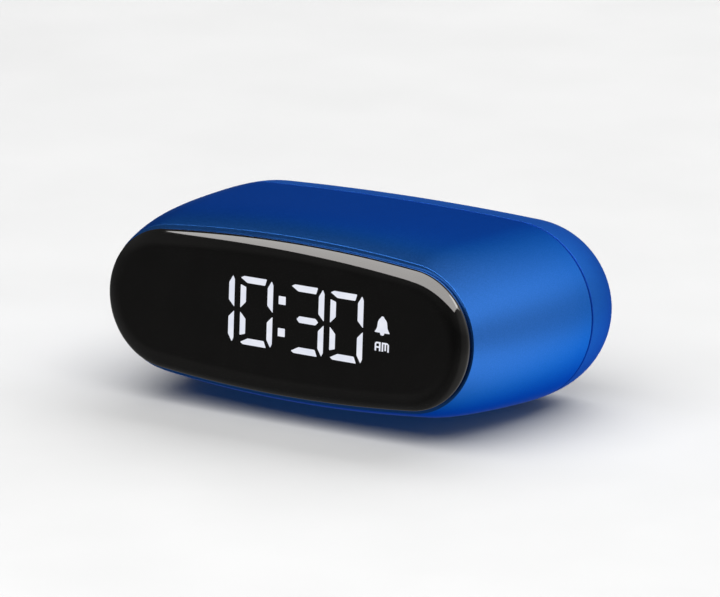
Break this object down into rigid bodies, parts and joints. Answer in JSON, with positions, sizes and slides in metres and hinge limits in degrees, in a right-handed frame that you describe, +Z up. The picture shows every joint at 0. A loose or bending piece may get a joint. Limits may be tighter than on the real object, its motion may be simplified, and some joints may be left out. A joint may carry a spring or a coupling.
{
  "type": "alarm clock",
  "caption": "Battery-powered digital alarm clock with a smoked front lens, a blue barrel-shaped sleeve and a flush rear cover with setting buttons, an alarm slider and a charging port.",
  "frame": {"origin": "on the table, under the middle of the clock's bounding box", "axes": "+X to the right seen from the front, +Y from the lens to the rear, +Z up; the body itself leans back 3.2 degrees"},
  "size_m": [0.0956, 0.0556, 0.0393],
  "materials": {
    "smoked_acrylic": "gloss",
    "anodised_blue": "satin",
    "painted_blue": "satin",
    "black_plastic": "matte",
    "white_plastic": "satin",
    "printed_film": "satin",
    "foam": "matte",
    "rubber": "matte",
    "circuit_board": "satin",
    "chip_black": "matte",
    "steel": "satin",
    "ferrite": "matte",
    "cell_wrap": "satin",
    "cable_white": "satin",
    "lead_red": "satin",
    "lead_black": "satin"
  },
  "bodies": {
    "case": {"front_lens": "smoked_acrylic", "lens_tape": "foam", "body_sleeve": "anodised_blue", "rear_cover": "painted_blue", "front_foot": "rubber", "rear_foot": "rubber", "display_film": "printed_film", "display_mask": "black_plastic", "display_board": "circuit_board", "chassis": "black_plastic", "main_board": "circuit_board", "button_board": "circuit_board", "controller_chip": "chip_black", "light_driver_chip": "chip_black", "clock_crystal": "steel", "charging_coil": "ferrite", "battery_socket": "white_plastic", "battery_plug": "white_plastic", "battery_cell": "cell_wrap", "battery_lead_positive": "lead_red", "battery_lead_negative": "lead_black", "display_socket": "cable_white", "main_display_socket": "cable_white", "display_cable": "cable_white", "main_button_socket": "cable_white", "button_socket": "cable_white", "button_cable": "cable_white", "slide_switch": "steel", "usb_port": "steel", "usb_tongue": "black_plastic", "buzzer": "black_plastic", "cover_screw_left": "steel", "cover_screw_right": "steel", "button_board_screw_left": "steel", "button_board_screw_right": "steel", "time_set_switch": "steel", "alarm_set_switch": "steel", "plus_switch": "steel", "minus_switch": "steel", "display_screw_left_lower": "steel", "display_screw_left_upper": "steel", "display_screw_right_lower": "steel", "display_screw_right_upper": "steel", "main_board_screw_left_lower": "steel", "main_board_screw_left_upper": "steel", "main_board_screw_right_lower": "steel", "main_board_screw_right_upper": "steel"},
    "time_set_key": {"time_set_button": "black_plastic", "time_set_plunger": "black_plastic"},
    "alarm_set_key": {"alarm_set_button": "black_plastic", "alarm_set_plunger": "black_plastic"},
    "plus_key": {"plus_button": "black_plastic", "plus_plunger": "black_plastic"},
    "minus_key": {"minus_button": "black_plastic", "minus_plunger": "black_plastic"},
    "alarm_switch": {"alarm_slider": "black_plastic", "slide_lever": "white_plastic"}
  },
  "joints": [
    {"name": "time_set_press", "type": "slide", "parent": "case", "child": "time_set_key", "axis": [0, -0.9984, 0.0558], "range_m": [0, 0.0005], "stiffness_N_per_m": 300, "springref_m": -0.0005},
    {"name": "alarm_set_press", "type": "slide", "parent": "case", "child": "alarm_set_key", "axis": [0, -0.9984, 0.0558], "range_m": [0, 0.0005], "stiffness_N_per_m": 300, "springref_m": -0.0005},
    {"name": "plus_press", "type": "slide", "parent": "case", "child": "plus_key", "axis": [0, -0.9984, 0.0558], "range_m": [0, 0.0005], "stiffness_N_per_m": 300, "springref_m": -0.0005},
    {"name": "minus_press", "type": "slide", "parent": "case", "child": "minus_key", "axis": [0, -0.9984, 0.0558], "range_m": [0, 0.0005], "stiffness_N_per_m": 300, "springref_m": -0.0005},
    {"name": "alarm_slide", "type": "slide", "parent": "case", "child": "alarm_switch", "axis": [1, 0, 0], "range_m": [0, 0.003]}
  ]
}
